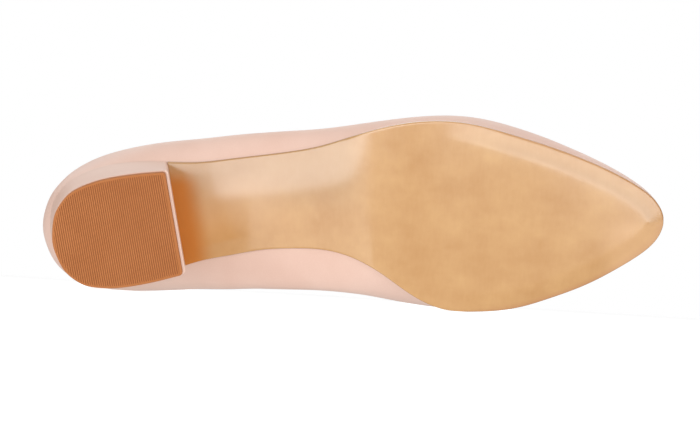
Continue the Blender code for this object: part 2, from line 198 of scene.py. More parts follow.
# Fine forms of the heel and its tread; the last three are shares of one rib's pitch
HEEL_EDGE_RADIUS = 0.0005
# Where the painted highlight lies on the heel's lip
LIP_DEPTH = 0.0005
LIP_RISE_SHARE = 0.9
TOP_PIECE_INSET = 0.0003
TREAD_EDGE_RADIUS = 0.0004
TREAD_BACK_STEPS = (0.00002, 0.00008, 0.0002, 0.00045, 0.0008)
TREAD_FRONT_STEPS = (0.0008, 0.00045, 0.0002, 0.00005)
RIB_PITCH = 0.00099
RIB_DEPTH = 0.00022
RIB_BORDER = 0.0008
RIB_FADE = 0.00015
RIB_CUTS = (0.0, 0.10, 0.20, 0.62, 0.72)
RIB_CREST_START = 0.15
RIB_CREST_END = 0.67

# The sock's rounded edge as a share of its thickness, and the row of stitches below the topline
SOCK_EDGE_SHARE = 0.4
STITCH_LENGTH = 0.0021
STITCH_GAP = 0.0006
STITCH_INSET = 0.0016
STITCH_RADIUS = 0.00022
STITCH_PROUD_SHARE = 0.35
STITCH_SIDES = 6
STITCH_TAPER = (0.35, 0.85, 1.0, 1.0, 0.85, 0.35)
TOPLINE_SAMPLES = 2400

# The camera: its aim along the shoe, its lean to the outer side, its distance and its lens
AIM_ALONG = 0.1468
CAMERA_LEAN = radians(5.0)
CAMERA_LEAN_STEP = radians(0.02)
CAMERA_DISTANCE = 2.0
CAMERA_PIVOT = 0.025
CAMERA_FLOOR_GAP = 0.004
CAMERA_LENS = 222.6
CAMERA_SENSOR = 36.0
CAMERA_CLIP_START = 0.05
CAMERA_CLIP_END = 60.0

# Soft light: the surroundings from straight below to straight above, the floor's glow, the boxes
SURROUNDINGS = (
    # place from below (0) to above (1), brightness
    (0.00, 0.66),
    (0.45, 0.66),
    (0.56, 0.30),
    (0.80, 0.42),
    (1.00, 0.90),
)
FLOOR_GLOW = 0.45
FLOOR_SHADE = 0.93
FLOOR_RADIUS = 12.0
FLOOR_SIDES = 96
LIGHT_AIM = (0.0, 0.0, 0.045)
LIGHT_ROWS = (
    # name, azimuth left of the camera, elevation, distance, half width, half height, radiance
    ("front_right", -28, 1.5, 2.3, 18, 12.5, 2.7),
    ("front_middle", 8, 1.5, 2.3, 18, 12.5, 2.3),
    ("front_left", 44, 1.5, 2.3, 18, 12.5, 3.2),
    ("low_left", 54, -22.5, 2.3, 12, 11, 0.8),
    ("top_right", -45, 50, 2.3, 20, 14, 0.6),
    ("back_fill", 180, 32, 2.3, 32, 18, 1.0),
)

HEEL_AXIS = np.array([cos(HEEL_ANGLE), sin(HEEL_ANGLE)])
HEEL_ACROSS = np.array([-sin(HEEL_ANGLE), cos(HEEL_ANGLE)])
BREAST_MIDDLE = np.array([BREAST_ALONG, BREAST_ACROSS])

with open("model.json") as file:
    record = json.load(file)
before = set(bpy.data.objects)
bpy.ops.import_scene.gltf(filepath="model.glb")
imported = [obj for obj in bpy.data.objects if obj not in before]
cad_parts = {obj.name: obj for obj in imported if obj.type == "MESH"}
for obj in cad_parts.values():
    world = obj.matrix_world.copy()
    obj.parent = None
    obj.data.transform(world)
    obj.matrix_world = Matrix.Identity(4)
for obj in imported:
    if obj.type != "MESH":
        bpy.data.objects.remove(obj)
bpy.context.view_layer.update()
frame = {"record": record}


# Curves and outlines of the standing shoe

def smooth(knots, values, places, period=None):
    """Read a cubic curve through the values; with a period it runs round and closes."""
    knots = np.asarray(knots, float)
    values = np.asarray(values, float)
    places = np.asarray(places, float)
    if period is not None:
        knots = np.append(knots, knots[0] + period)
        values = np.append(values, values[0])
        places = knots[0] + (places - knots[0]) % period
    count = len(knots)
    gaps = np.diff(knots)
    rises = np.diff(values) / gaps
    system = np.zeros((count, count))
    wanted = np.zeros(count)
    for i in range(1, count - 1):
        system[i, i - 1] = 1 / gaps[i - 1]
        system[i, i] = 2 / gaps[i - 1] + 2 / gaps[i]
        system[i, i + 1] = 1 / gaps[i]
        wanted[i] = 3 * (rises[i - 1] / gaps[i - 1] + rises[i] / gaps[i])
    if period is None:
        system[0, 0:2] = (2, 1)
        wanted[0] = 3 * rises[0]
        system[-1, -2:] = (1, 2)
        wanted[-1] = 3 * rises[-1]
    else:
        system[0, 0] = 1
        system[0, -1] = -1
        system[-1, 0:2] = (2 / gaps[0], 1 / gaps[0])
        system[-1, -2:] = (1 / gaps[-1], 2 / gaps[-1])
        wanted[-1] = 3 * (rises[0] / gaps[0] + rises[-1] / gaps[-1])
    slopes = np.linalg.solve(system, wanted)
    cell = np.clip(np.searchsorted(knots, places, side="right") - 1, 0, count - 2)
    t = (places - knots[cell]) / gaps[cell]
    start, end = values[cell], values[cell + 1]
    pull, push = slopes[cell] * gaps[cell], slopes[cell + 1] * gaps[cell]
    blend = 3 * t**2 - 2 * t**3
    return start * (1 - blend) + end * blend + pull * (t**3 - 2 * t**2 + t) + push * (t**3 - t**2)


def way_along(points):
    """Length of the way to each of a line of plan points from its first."""
    return np.concatenate([[0], np.cumsum(np.hypot(*np.diff(points, axis=0).T))])


def eased(values, start, end):
    """Smooth step from 0 at start to 1 at end."""
    t = np.clip((values - start) / (end - start), 0, 1)
    return 3 * t**2 - 2 * t**3


def sole_place(share):
    """The place along the shoe of a share of the way from heel breast to toe tip."""
    return BREAST_ALONG + share * (LENGTH - BREAST_ALONG)


def seat_line(along):
    """Height of the sole's top, seen from the side: seat, waist, tread and toe spring."""
    along = np.asarray(along, float)
    waist_start = BREAST_ALONG + HEEL_WIDTH / 2 * abs(sin(HEEL_ANGLE))
    ball = sole_place(BALL_SHARE)
    spring = sole_place(SPRING_SHARE)
    seat = SEAT_HEIGHT - SEAT_SLOPE * (along - BREAST_ALONG)
    top = SEAT_HEIGHT - SEAT_SLOPE * (waist_start - BREAST_ALONG)
    reach = ball - waist_start
    t = np.clip((along - waist_start) / reach, 0, 1)
    blend = 3 * t**2 - 2 * t**3
    waist = top * (1 - blend) + SOLE_THICKNESS * blend - SEAT_SLOPE * reach * (t**3 - 2 * t**2 + t)
    lift = np.clip((along - spring) / (LENGTH - spring), 0, None)
    toe = SOLE_THICKNESS + TOE_SPRING * lift**2
    return np.where(along < waist_start, seat, np.where(along < ball, waist, toe))


def breast_ahead(level):
    """How far the heel cover's breast lies ahead of the top piece, from floor (0) to seat (1)."""
    return BREAST_LIP * (1 - level) - BREAST_UNDERCUT * level


def heel_side(level, side, ahead):
    """Heel outline points in plan, back to breast, at a level from floor (0) to seat (1)."""
    points = []
    for along, floor, seat in HEEL_ROWS:
        half = (floor * (1 - level) + seat * level) * HEEL_WIDTH / 2
        back = (1 - along) * (HEEL_LENGTH + HEEL_SPREAD * level + ahead) - ahead
        points.append(BREAST_MIDDLE - HEEL_AXIS * back + HEEL_ACROSS * half * side)
    return points


def shoe_outline():
    """The lasted outline in plan: round the heel seat, outer sole edge, toe and inner sole edge."""
    points = heel_side(1, -1, breast_ahead(1))
    points += [np.array([sole_place(s), -outer * BALL_WIDTH]) for s, outer, _ in SOLE_ROWS]
    points.append(np.array([LENGTH, TIP_ACROSS]))
    points += [np.array([sole_place(s), inner * BALL_WIDTH]) for s, _, inner in reversed(SOLE_ROWS)]
    points += heel_side(1, 1, breast_ahead(1))[:0:-1]
    points = np.array(points)
    knots = way_along(np.vstack([points, points[:1]]))
    places = np.linspace(0, knots[-1], OUTLINE_SAMPLES, endpoint=False)
    return np.stack([smooth(knots[:-1], points[:, i], places, knots[-1]) for i in (0, 1)], axis=1)


OUTLINE = shoe_outline()


def way_round(points):
    """Share of the way round a closed outline at each of its points."""
    steps = np.hypot(*(np.roll(points, -1, axis=0) - points).T)
    return np.concatenate([[0], np.cumsum(steps)[:-1]]) / steps.sum()


def outward(points):
    """Outward directions in plan of a closed outline that runs heel, outer side, toe, inner side."""
    along = np.roll(points, -1, axis=0) - np.roll(points, 1, axis=0)
    along /= np.linalg.norm(along, axis=1)[:, None]
    return np.stack([along[:, 1], -along[:, 0]], axis=1)


def flat(vectors):
    """Plan vectors with a zero height."""
    return np.column_stack([vectors, np.zeros(len(vectors))])


def places_round(count):
    """Shares of the way round, closer together at the heel's back and at the toe."""
    even = np.arange(count) / count
    return even - END_CROWDING_SHARE / (4 * pi) * np.sin(4 * pi * even)


def read_round(places, values):
    """Plan values kept on the lasted outline's points, read at shares of the way round."""
    known = way_round(OUTLINE)
    return np.stack([np.interp(places, known, values[:, i], period=1) for i in (0, 1)], axis=1)


def wall_handles(places, depth):
    """Foot, two handles and topline of the upper's wall at a depth inside its outer face."""
    table = np.array(WALL_ROWS)
    columns = [smooth(table[:, 0], table[:, i], places, 1.0) for i in range(1, table.shape[1])]
    along, across, rise, lean, foot_pull, flare, top_pull = columns
    edge = read_round(places, OUTLINE)
    facing = read_round(places, outward(OUTLINE))
    facing /= np.linalg.norm(facing, axis=1)[:, None]
    topline = np.stack([along * LENGTH, across * BALL_WIDTH], axis=1)
    foot_out, top_out = flat(facing), flat(outward(topline))
    up = np.array([0.0, 0.0, 1.0])
    lean, flare = np.radians(lean)[:, None], np.radians(flare)[:, None]
    foot_way = foot_out * np.sin(lean) + up * np.cos(lean)
    top_way = top_out * np.sin(flare) - up * np.cos(flare)
    plan = edge - facing * FEATHER_INSET
    foot = np.column_stack([plan, seat_line(plan[:, 0]) + FIT_GAP])
    top = np.column_stack([topline, seat_line(topline[:, 0]) + rise * COLLAR_RISE])
    lower = foot + foot_way * (foot_pull * COLLAR_RISE)[:, None]
    upper = top + top_way * (top_pull * COLLAR_RISE)[:, None]
    foot_face = foot_out * np.cos(lean) - up * np.sin(lean)
    top_face = top_out * np.cos(flare) + up * np.sin(flare)
    foot = foot - foot_out * depth / np.cos(lean)
    foot[:, 2] = seat_line(foot[:, 0]) + FIT_GAP
    return foot, lower - foot_face * depth, upper - top_face * depth, top - top_face * depth


def wall_points(handles, t):
    """Points of the wall's curves at shares of the way from foot to topline."""
    foot, lower, upper, top = handles
    return foot * (1 - t)**3 + 3 * lower * t * (1 - t)**2 + 3 * upper * t**2 * (1 - t) + top * t**3


def side_edges(ring, along):
    """Outer and inner side of a closed outline at places along the shoe."""
    back, tip = int(np.argmin(ring[:, 0])), int(np.argmax(ring[:, 0]))
    turned = np.roll(ring, -back, axis=0)
    tip = (tip - back) % len(ring)
    outer = turned[:tip + 1]
    inner = np.vstack([turned[tip:], turned[:1]])[::-1]
    return np.interp(along, outer[:, 0], outer[:, 1]), np.interp(along, inner[:, 0], inner[:, 1])


def edge_distance(along, across, ring):
    """Distance in plan of each point of a grid from a closed outline."""
    points = np.stack([along.ravel(), across.ravel()], axis=1)
    step = np.roll(ring, -1, axis=0) - ring
    length = (step**2).sum(axis=1)
    nearest = []
    for some in np.array_split(points, max(1, len(points) // POINTS_AT_ONCE)):
        away = some[:, None, :] - ring[None, :, :]
        share = np.clip((away * step).sum(axis=2) / length, 0, 1)
        gap = away - share[:, :, None] * step
        nearest.append(np.sqrt((gap**2).sum(axis=2).min(axis=1)))
    return np.concatenate(nearest).reshape(along.shape)


def lines_across(outer, inner, steps, shares, fill):
    """Places across a strip: crowded along both its sides, evenly filled between them."""
    half = (inner - outer)[:, None] / 2
    depth = np.minimum(steps, shares * half)
    rest = depth[:, -1:] + (half - depth[:, -1:]) * np.linspace(0, 1, fill + 1)[1:]
    depth = np.concatenate([depth, rest], axis=1)
    return np.concatenate([outer[:, None] + depth, (inner[:, None] - depth)[:, -2::-1]], axis=1)


def rounding(reach, radius):
    """Height lost to a rounded edge at distances from it."""
    missing = np.clip(radius - reach, 0, radius)
    return radius - np.sqrt(radius**2 - missing**2)


def corner_points(leave, corner, arrive):
    """Points of a rounded corner, without its two ends."""
    t = np.linspace(0, 1, CORNER_STEPS + 1)[1:-1, None]
    return list(leave * (1 - t)**2 + 2 * corner * t * (1 - t) + arrive * t**2)


def heel_ring(level, ahead, inset=0.0):
    """Closed heel outline in plan at a level: round back, straight breast with rounded corners."""
    controls = np.array(heel_side(level, -1, ahead)[::-1] + heel_side(level, 1, ahead)[1:])
    knots = way_along(controls)
    places = np.linspace(CORNER_RADIUS, knots[-1] - CORNER_RADIUS, HEEL_STEPS_BACK + 1)
    curve = np.stack([smooth(knots, controls[:, i], places) for i in (0, 1)], axis=1)
    outer_corner, inner_corner = controls[0], controls[-1]
    inner_end = inner_corner - HEEL_ACROSS * CORNER_RADIUS
    outer_end = outer_corner + HEEL_ACROSS * CORNER_RADIUS
    breast = np.linspace(0, 1, BREAST_STEPS + 1)[:, None]
    ring = list(curve) + corner_points(curve[-1], inner_corner, inner_end)
    ring += list(inner_end * (1 - breast) + outer_end * breast)
    ring += corner_points(outer_end, outer_corner, curve[0])
    ring = np.array(ring)
    away = outward(ring)
    if ((ring - ring.mean(axis=0)) * away).sum() < 0:
        away = -away
    return ring - away * inset


# The standing shoe's axes in the scene, from the record's two rest faces

def shoe_axes():
    """Rotation and origin that bring a point of the standing shoe into the scene."""
    mounts = {mount["name"]: mount for mount in frame["record"]["mounts"]}
    heel = np.array(mounts["heel_rest"]["pos_m"])
    fore = np.array(mounts["forefoot_rest"]["pos_m"])
    up = -np.array(mounts["heel_rest"]["axis"])
    up /= np.linalg.norm(up)
    along = fore - heel
    along -= up * along.dot(up)
    along /= np.linalg.norm(along)
    sideways = np.cross(up, along)
    turn = atan2(FOREFOOT_REST[1] - HEEL_REST[1], FOREFOOT_REST[0] - HEEL_REST[0])
    x = cos(turn) * along - sin(turn) * sideways
    y = sin(turn) * along + cos(turn) * sideways
    axes = np.stack([x, y, up], axis=1)
    return axes, heel - axes @ np.array([HEEL_REST[0], HEEL_REST[1], 0.0])


AXES, ORIGIN = shoe_axes()


def to_scene(points):
    """Points of the standing shoe as they lie in the scene."""
    return np.asarray(points) @ AXES.T + ORIGIN


# Mesh helpers

def add_piece(name, points, faces, materials, node, face_slots=None, sharp=40):
    """Make one smooth-shaded piece in the scene that stands for a CAD node."""
    mesh = bpy.data.meshes.new(name)
    mesh.from_pydata([tuple(p) for p in to_scene(points)], [], faces)
    for material in materials:
        mesh.materials.append(material)
    if face_slots is not None:
        mesh.polygons.foreach_set("material_index", face_slots)
    form = bmesh.new()
    form.from_mesh(mesh)
    bmesh.ops.recalc_face_normals(form, faces=form.faces)
    form.to_mesh(mesh)
    form.free()
    mesh.shade_smooth()
    mesh.set_sharp_from_angle(angle=radians(sharp))
    piece = bpy.data.objects.new(name, mesh)
    bpy.context.scene.collection.objects.link(piece)
    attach(piece, "root")
    if node:
        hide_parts(node)
    return piece


def grid_faces(rows, columns, start=0, closed=False):
    """Quads between the neighbouring rows of a grid of points."""
    faces = []
    for i in range(rows - 1):
        for j in range(columns if closed else columns - 1):
            k = (j + 1) % columns
            here, there = start + i * columns, start + (i + 1) * columns
            faces.append((here + j, here + k, there + k, there + j))
    return faces


def slab(lower, upper):
    """Points and faces of a closed sheet between two grids of points."""
    rows, columns = lower.shape[:2]
    count = rows * columns
    points = np.vstack([lower.reshape(-1, 3), upper.reshape(-1, 3)])
    faces = grid_faces(rows, columns) + grid_faces(rows, columns, count)
    rim = list(range(columns))
    rim += [i * columns + columns - 1 for i in range(1, rows)]
    rim += [(rows - 1) * columns + j for j in range(columns - 2, -1, -1)]
    rim += [i * columns for i in range(rows - 2, 0, -1)]
    for a, b in zip(rim, rim[1:] + rim[:1]):
        faces.append((a, b, count + b, count + a))
    return points, faces


def store(piece, name, values):
    """Store one number for each of the piece's points."""
    layer = piece.data.attributes.new(name, "FLOAT", "POINT")
    layer.data.foreach_set("value", np.asarray(values, float).ravel())


# Shader helpers

def new_material(name, roughness, **settings):
    """A Principled material; settings are values of the shader's own sockets."""
    material = bpy.data.materials.new(name)
    material.use_nodes = True
    shader = material.node_tree.nodes["Principled BSDF"]
    shader.inputs["Roughness"].default_value = roughness
    for socket, value in settings.items():
        shader.inputs[socket.replace("_", " ")].default_value = value
    return material, material.node_tree, shader


def add_node(tree, kind, **inputs):
    """A shader node with values for its inputs."""
    node = tree.nodes.new(kind)
    for socket, value in inputs.items():
        node.inputs[socket.replace("_", " ")].default_value = value
    return node


def texture_space(tree, scale=(1, 1, 1)):
    """Object coordinates in metres, stretched along the object's axes."""
    coordinates = tree.nodes.new("ShaderNodeTexCoord")
    mapping = tree.nodes.new("ShaderNodeMapping")
    mapping.inputs["Scale"].default_value = scale
    tree.links.new(coordinates.outputs["Object"], mapping.inputs["Vector"])
    return mapping.outputs["Vector"]


def noise(tree, vector, scale, detail, roughness):
    """A noise texture's value."""
    node = add_node(tree, "ShaderNodeTexNoise", Scale=scale, Detail=detail, Roughness=roughness)
    tree.links.new(vector, node.inputs["Vector"])
    return node.outputs["Fac"]


def ramp(tree, value, stops):
    """A colour ramp of (place, colour) stops."""
    node = tree.nodes.new("ShaderNodeValToRGB")
    elements = node.color_ramp.elements
    while len(elements) < len(stops):
        elements.new(0.5)
    for element, (place, colour) in zip(elements, stops):
        element.position = place
        element.color = (*colour, 1.0)
    tree.links.new(value, node.inputs["Fac"])
    return node.outputs["Color"]


def mix(tree, factor, first, second):
    """Mix two colours; each may be a socket, and so may the factor."""
    node = tree.nodes.new("ShaderNodeMix")
    node.data_type = "RGBA"
    node.clamp_factor = True
    for socket, value in ((node.inputs[0], factor), (node.inputs[6], first), (node.inputs[7], second)):
        if isinstance(value, bpy.types.NodeSocket):
            tree.links.new(value, socket)
        elif isinstance(value, tuple):
            socket.default_value = (*value, 1.0)
        else:
            socket.default_value = value
    return node.outputs[2]


def math(tree, operation, first, second=0.0, third=0.0):
    """A math node on sockets or numbers."""
    node = tree.nodes.new("ShaderNodeMath")
    node.operation = operation
    for socket, value in zip(node.inputs, (first, second, third)):
        if isinstance(value, bpy.types.NodeSocket):
            tree.links.new(value, socket)
        else:
            socket.default_value = value
    return node.outputs[0]


def bump(tree, shader, heights):
    """Chain of bumps from (height socket, distance in metres, strength) on the shader's normal."""
    last = None
    for height, distance, strength in heights:
        node = add_node(tree, "ShaderNodeBump", Strength=strength, Distance=distance)
        tree.links.new(height, node.inputs["Height"])
        if last is not None:
            tree.links.new(last, node.inputs["Normal"])
        last = node.outputs["Normal"]
    tree.links.new(last, shader.inputs["Normal"])


def attribute(tree, name):
    """A value stored on the mesh's points."""
    node = tree.nodes.new("ShaderNodeAttribute")
    node.attribute_name = name
    return node.outputs["Fac"]


def mottle(tree, colour, share, pattern, low, high):
    """Blend in a pattern's colours, between two stops of place and colour."""
    return mix(tree, share, colour, ramp(tree, pattern, [low, high]))


def tone_and_painted_light(tree, colour, layer, share, tone):
    """Blend in a tone where a layer stored on the points is strong; it lays real tones as well as
    painted shade, sheen and highlight.
    """
    return mix(tree, math(tree, "MULTIPLY", attribute(tree, layer), share), colour, tone)


# Materials

def sole_leather():
    """Varnished tan leather: mottled and faintly pored, with painted shade, deeper and duller, in the
    corner by the heel and further out on the inner side, painted shade on the waist's outer side and the
    forefoot's outer bevel, and a painted sheen over the waist and round the toe.
    """
    material, tree, shader = new_material(
        "sole_leather", 0.42, Coat_Weight=1.0, Coat_Roughness=0.13, Coat_IOR=1.8, Specular_IOR_Level=0.2
    )
    wide = texture_space(tree, (0.8, 1, 1))
    cloud = noise(tree, wide, 58, 3.0, 0.5)
    patch = noise(tree, wide, 150, 3.0, 0.55)
    streak = noise(tree, texture_space(tree, (1.5, 1, 0.35)), 420, 3.0, 0.6)
    speck = noise(tree, texture_space(tree), 1500, 2.0, 0.5)
    colour = ramp(tree, cloud, [(0.30, (0.555, 0.272, 0.080)), (0.72, (0.665, 0.365, 0.132))])
    colour = mottle(tree, colour, 0.22, patch, (0.3, (0.50, 0.235, 0.065)), (0.75, (0.71, 0.41, 0.165)))
    colour = mottle(tree, colour, 0.06, streak, (0.35, (0.48, 0.22, 0.06)), (0.70, (0.75, 0.45, 0.19)))
    dots = ramp(tree, speck, [(0.70, (0, 0, 0)), (0.78, (1, 1, 1))])
    colour = mix(tree, math(tree, "MULTIPLY", dots, 0.12), colour, (0.36, 0.15, 0.05))
    colour = tone_and_painted_light(tree, colour, "rim", 0.6, (0.50, 0.20, 0.075))
    # Painted shade on the waist's outer side and the forefoot's outer bevel
    colour = tone_and_painted_light(tree, colour, "painted_shade_waist_bevel", 0.5, (0.36, 0.185, 0.055))
    # Painted shade, warm and deep, reaching further out on the inner side near the heel
    colour = tone_and_painted_light(tree, colour, "inner_shade", 0.5, (0.64, 0.30, 0.065))
    # Painted sheen over the waist and round the toe's bevel
    colour = tone_and_painted_light(tree, colour, "painted_sheen", 0.5, (0.88, 0.54, 0.28))
    # Painted shade, deep and saturated, in the corner by the heel's breast
    colour = tone_and_painted_light(tree, colour, "corner", 0.9, (0.60, 0.197, 0.030))
    tree.links.new(colour, shader.inputs["Base Color"])
    # No coat where the corner's painted shade lies, so it shows no reflection there
    shine = math(tree, "MULTIPLY_ADD", attribute(tree, "corner"), -1.0, 1.0)
    tree.links.new(shine, shader.inputs["Coat Weight"])
    bump(tree, shader, [
        (streak, 0.00005, 0.25),
        (noise(tree, texture_space(tree), 2600, 2.0, 0.6), 0.00003, 0.25),
    ])
    return material


def pink_leather(name, tone=(1.0, 1.0, 1.0)):
    """Smooth pale pink calf with fine pores and a soft sheen, and a painted highlight on the heel's lip
    where the points carry it; the tone scales its colour.
    """
    material, tree, shader = new_material(
        name, 0.42, Coat_Weight=0.10, Coat_Roughness=0.32, Specular_IOR_Level=0.18
    )
    space = texture_space(tree)
    cloud = noise(tree, space, 30, 3.0, 0.5)
    grain = noise(tree, space, 1700, 3.0, 0.6)
    pores = tree.nodes.new("ShaderNodeTexVoronoi")
    pores.inputs["Scale"].default_value = 1150
    tree.links.new(space, pores.inputs["Vector"])
    low = (0.815 * tone[0], 0.550 * tone[1], 0.445 * tone[2])
    high = (0.875 * tone[0], 0.620 * tone[1], 0.515 * tone[2])
    colour = ramp(tree, cloud, [(0.3, low), (0.7, high)])
    colour = mottle(tree, colour, 0.08, grain, (0.35, (0.70, 0.40, 0.30)), (0.65, (0.95, 0.68, 0.58)))
    # Painted highlight on the heel's lip beside the top piece
    colour = tone_and_painted_light(tree, colour, "painted_highlight_lip", 1.0, (1.0, 0.74, 0.62))
    tree.links.new(colour, shader.inputs["Base Color"])
    bump(tree, shader, [
        (pores.outputs["Distance"], 0.00004, 0.12),
        (grain, 0.00004, 0.18),
        (cloud, 0.0004, 0.10),
    ])
    return material


def lining_leather():
    """Matt beige lining leather."""
    material, tree, shader = new_material("lining_leather", 0.62, Specular_IOR_Level=0.35)
    space = texture_space(tree)
    cloud = noise(tree, space, 60, 4.0, 0.55)
    grain = noise(tree, space, 1500, 3.0, 0.6)
    colour = ramp(tree, cloud, [(0.3, (0.74, 0.57, 0.43)), (0.7, (0.83, 0.67, 0.53))])
    colour = mottle(tree, colour, 0.15, grain, (0.3, (0.60, 0.43, 0.31)), (0.7, (0.86, 0.70, 0.56)))
    tree.links.new(colour, shader.inputs["Base Color"])
    bump(tree, shader, [(grain, 0.00006, 0.3)])
    return material


def heel_rubber():
    """Matt brown rubber, with painted shade in the grooves between its ribs."""
    material, tree, shader = new_material("heel_rubber", 0.7, Specular_IOR_Level=0.2)
    space = texture_space(tree)
    cloud = noise(tree, space, 70, 4.0, 0.6)
    dust = noise(tree, space, 1600, 3.0, 0.6)
    colour = ramp(tree, cloud, [(0.3, (0.505, 0.176, 0.051)), (0.7, (0.575, 0.213, 0.068))])
    colour = mottle(tree, colour, 0.16, dust, (0.3, (0.33, 0.12, 0.04)), (0.7, (0.62, 0.30, 0.14)))
    # Painted shade in the grooves between the ribs
    colour = tone_and_painted_light(tree, colour, "groove", 0.75, (0.27, 0.085, 0.028))
    colour = tone_and_painted_light(tree, colour, "border", 0.5, (0.43, 0.150, 0.048))
    tree.links.new(colour, shader.inputs["Base Color"])
    bump(tree, shader, [(dust, 0.00004, 0.3)])
    return material


def thread():
    """Fine pink sewing thread."""
    material, tree, shader = new_material("thread", 0.6, Specular_IOR_Level=0.3, Sheen_Weight=0.2)
    strand = noise(tree, texture_space(tree), 5200, 2.0, 0.5)
    colour = ramp(tree, strand, [(0.3, (0.72, 0.42, 0.33)), (0.7, (0.86, 0.58, 0.48))])
    tree.links.new(colour, shader.inputs["Base Color"])
    bump(tree, shader, [(strand, 0.00003, 0.3)])
    return material


# Pieces

def make_upper(outside, inside):
    """The upper: outer leather, folded topline and lining as one wall."""
    places = places_round(WALL_STEPS_ROUND)
    outer = wall_handles(places, 0.0)
    inner = wall_handles(places, UPPER_WALL)
    middle = wall_handles(places, UPPER_WALL / 2)
    radius = UPPER_WALL / 2
    reach = np.linalg.norm(outer[3] - outer[2], axis=1)[:, None]
    stop = 1 - radius / (3 * reach)
    rings = []
    for t in np.linspace(0, 1, WALL_STEPS_UP + 1):
        rings.append(wall_points(outer, t * stop))
    centre = wall_points(middle, stop)
    out = rings[-1] - centre
    rise = middle[3] - centre
    rise *= radius / np.linalg.norm(rise, axis=1)[:, None]
    for angle in np.linspace(0, pi, RIM_STEPS + 1)[1:-1]:
        rings.append(centre + out * cos(angle) + rise * sin(angle))
    rim_end = len(rings)
    for t in np.linspace(1, 0, WALL_STEPS_UP + 1):
        rings.append(wall_points(inner, t * stop))
    columns = len(places)
    faces = grid_faces(len(rings), columns, closed=True)
    last = (len(rings) - 1) * columns
    for j in range(columns):
        k = (j + 1) % columns
        faces.append((last + j, last + k, k, j))
    slots = np.zeros(len(faces), dtype=np.int32)
    slots[(rim_end - 1) * columns:] = 1
    materials = [outside, inside]
    piece = add_piece("upper_leather", np.vstack(rings), faces, materials, "upper", slots, sharp=60)


def make_topline_stitches(material):
    """A row of fine stitches below the folded topline."""
    places = np.arange(TOPLINE_SAMPLES) / TOPLINE_SAMPLES
    handles = wall_handles(places, -STITCH_RADIUS * STITCH_PROUD_SHARE)
    reach = np.linalg.norm(handles[3] - handles[2], axis=1)[:, None]
    path = wall_points(handles, 1 - STITCH_INSET / (3 * reach))
    way = np.concatenate([[0], np.cumsum(np.linalg.norm(np.diff(path, axis=0), axis=1))])
    pitch = way[-1] / round(way[-1] / (STITCH_LENGTH + STITCH_GAP))
    points, faces = [], []
    rounds = len(STITCH_TAPER)
    for start in np.arange(0, way[-1] - pitch / 2, pitch):
        stops = start + np.linspace(0, STITCH_LENGTH, rounds)
        line = np.stack([np.interp(stops, way, path[:, i]) for i in range(3)], axis=1)
        ahead = line[-1] - line[0]
        ahead /= np.linalg.norm(ahead)
        side = np.cross(ahead, (0.0, 0.0, 1.0))
        side /= np.linalg.norm(side)
        lift = np.cross(side, ahead)
        base = len(points)
        for centre, taper in zip(line, STITCH_TAPER):
            for k in range(STITCH_SIDES):
                angle = 2 * pi * k / STITCH_SIDES
                points.append(centre + STITCH_RADIUS * taper * (side * cos(angle) + lift * sin(angle)))
        last = base + (rounds - 1) * STITCH_SIDES
        faces += grid_faces(rounds, STITCH_SIDES, base, closed=True)
        faces.append(tuple(range(base, base + STITCH_SIDES)))
        faces.append(tuple(range(last, last + STITCH_SIDES)))
    piece = add_piece("topline_stitches", np.array(points), faces, [material], None)


def bevel_left(reach):
    """Share of the bevel that the thickness still lacks, from the sole's edge (1) to the flat (0)."""
    u = reach / BEVEL_REACH
    bend = np.sqrt((1 - u)**2 + BEVEL_SOFTNESS**2)
    level = 0.5 * (1 + u - bend) + 0.5 * (np.sqrt(1 + BEVEL_SOFTNESS**2) - 1)
    return 1 - np.clip(level, 0, 1)


def crown_left(reach):
    """Share of the crown that the thickness still lacks, from the sole's edge (1) to the middle (0)."""
    return (1 - np.clip(reach / CROWN_REACH, 0, 1))**2


def sole_grid():
    """Plan places of the sole's points, breast to toe, and how far across the sole each one lies."""
    share = np.linspace(0, 1, SOLE_STEPS + 1)
    share = EVEN_SHARE * share + (1 - EVEN_SHARE) * np.sin(share * pi / 2)
    underside = 1 - SOLE_THICKNESS / SEAT_HEIGHT
    start = BREAST_ALONG + (breast_ahead(underside) + SOLE_END_GAP) / cos(HEEL_ANGLE)
    centre = start + share * (LENGTH - TIP_TRIM - start)
    skew = -tan(HEEL_ANGLE) * np.clip(1 - share / TURNING_SHARE, 0, 1)**2
    outer, inner = np.zeros_like(centre), np.zeros_like(centre)
    for _ in range(TURNING_PASSES):
        outer = side_edges(OUTLINE, centre + skew * (outer - BREAST_ACROSS))[0]
        inner = side_edges(OUTLINE, centre + skew * (inner - BREAST_ACROSS))[1]
    shares = np.linspace(0, SOLE_SIDE_SHARE, len(SOLE_SIDE_STEPS))**SOLE_SIDE_POWER
    across = lines_across(outer, inner, SOLE_SIDE_STEPS, shares, SOLE_FILL_STEPS)
    along = centre[:, None] + skew[:, None] * (across - BREAST_ACROSS)
    to_inner = np.clip((across - outer[:, None]) / (inner - outer)[:, None], 0, 1)
    return along, across, to_inner


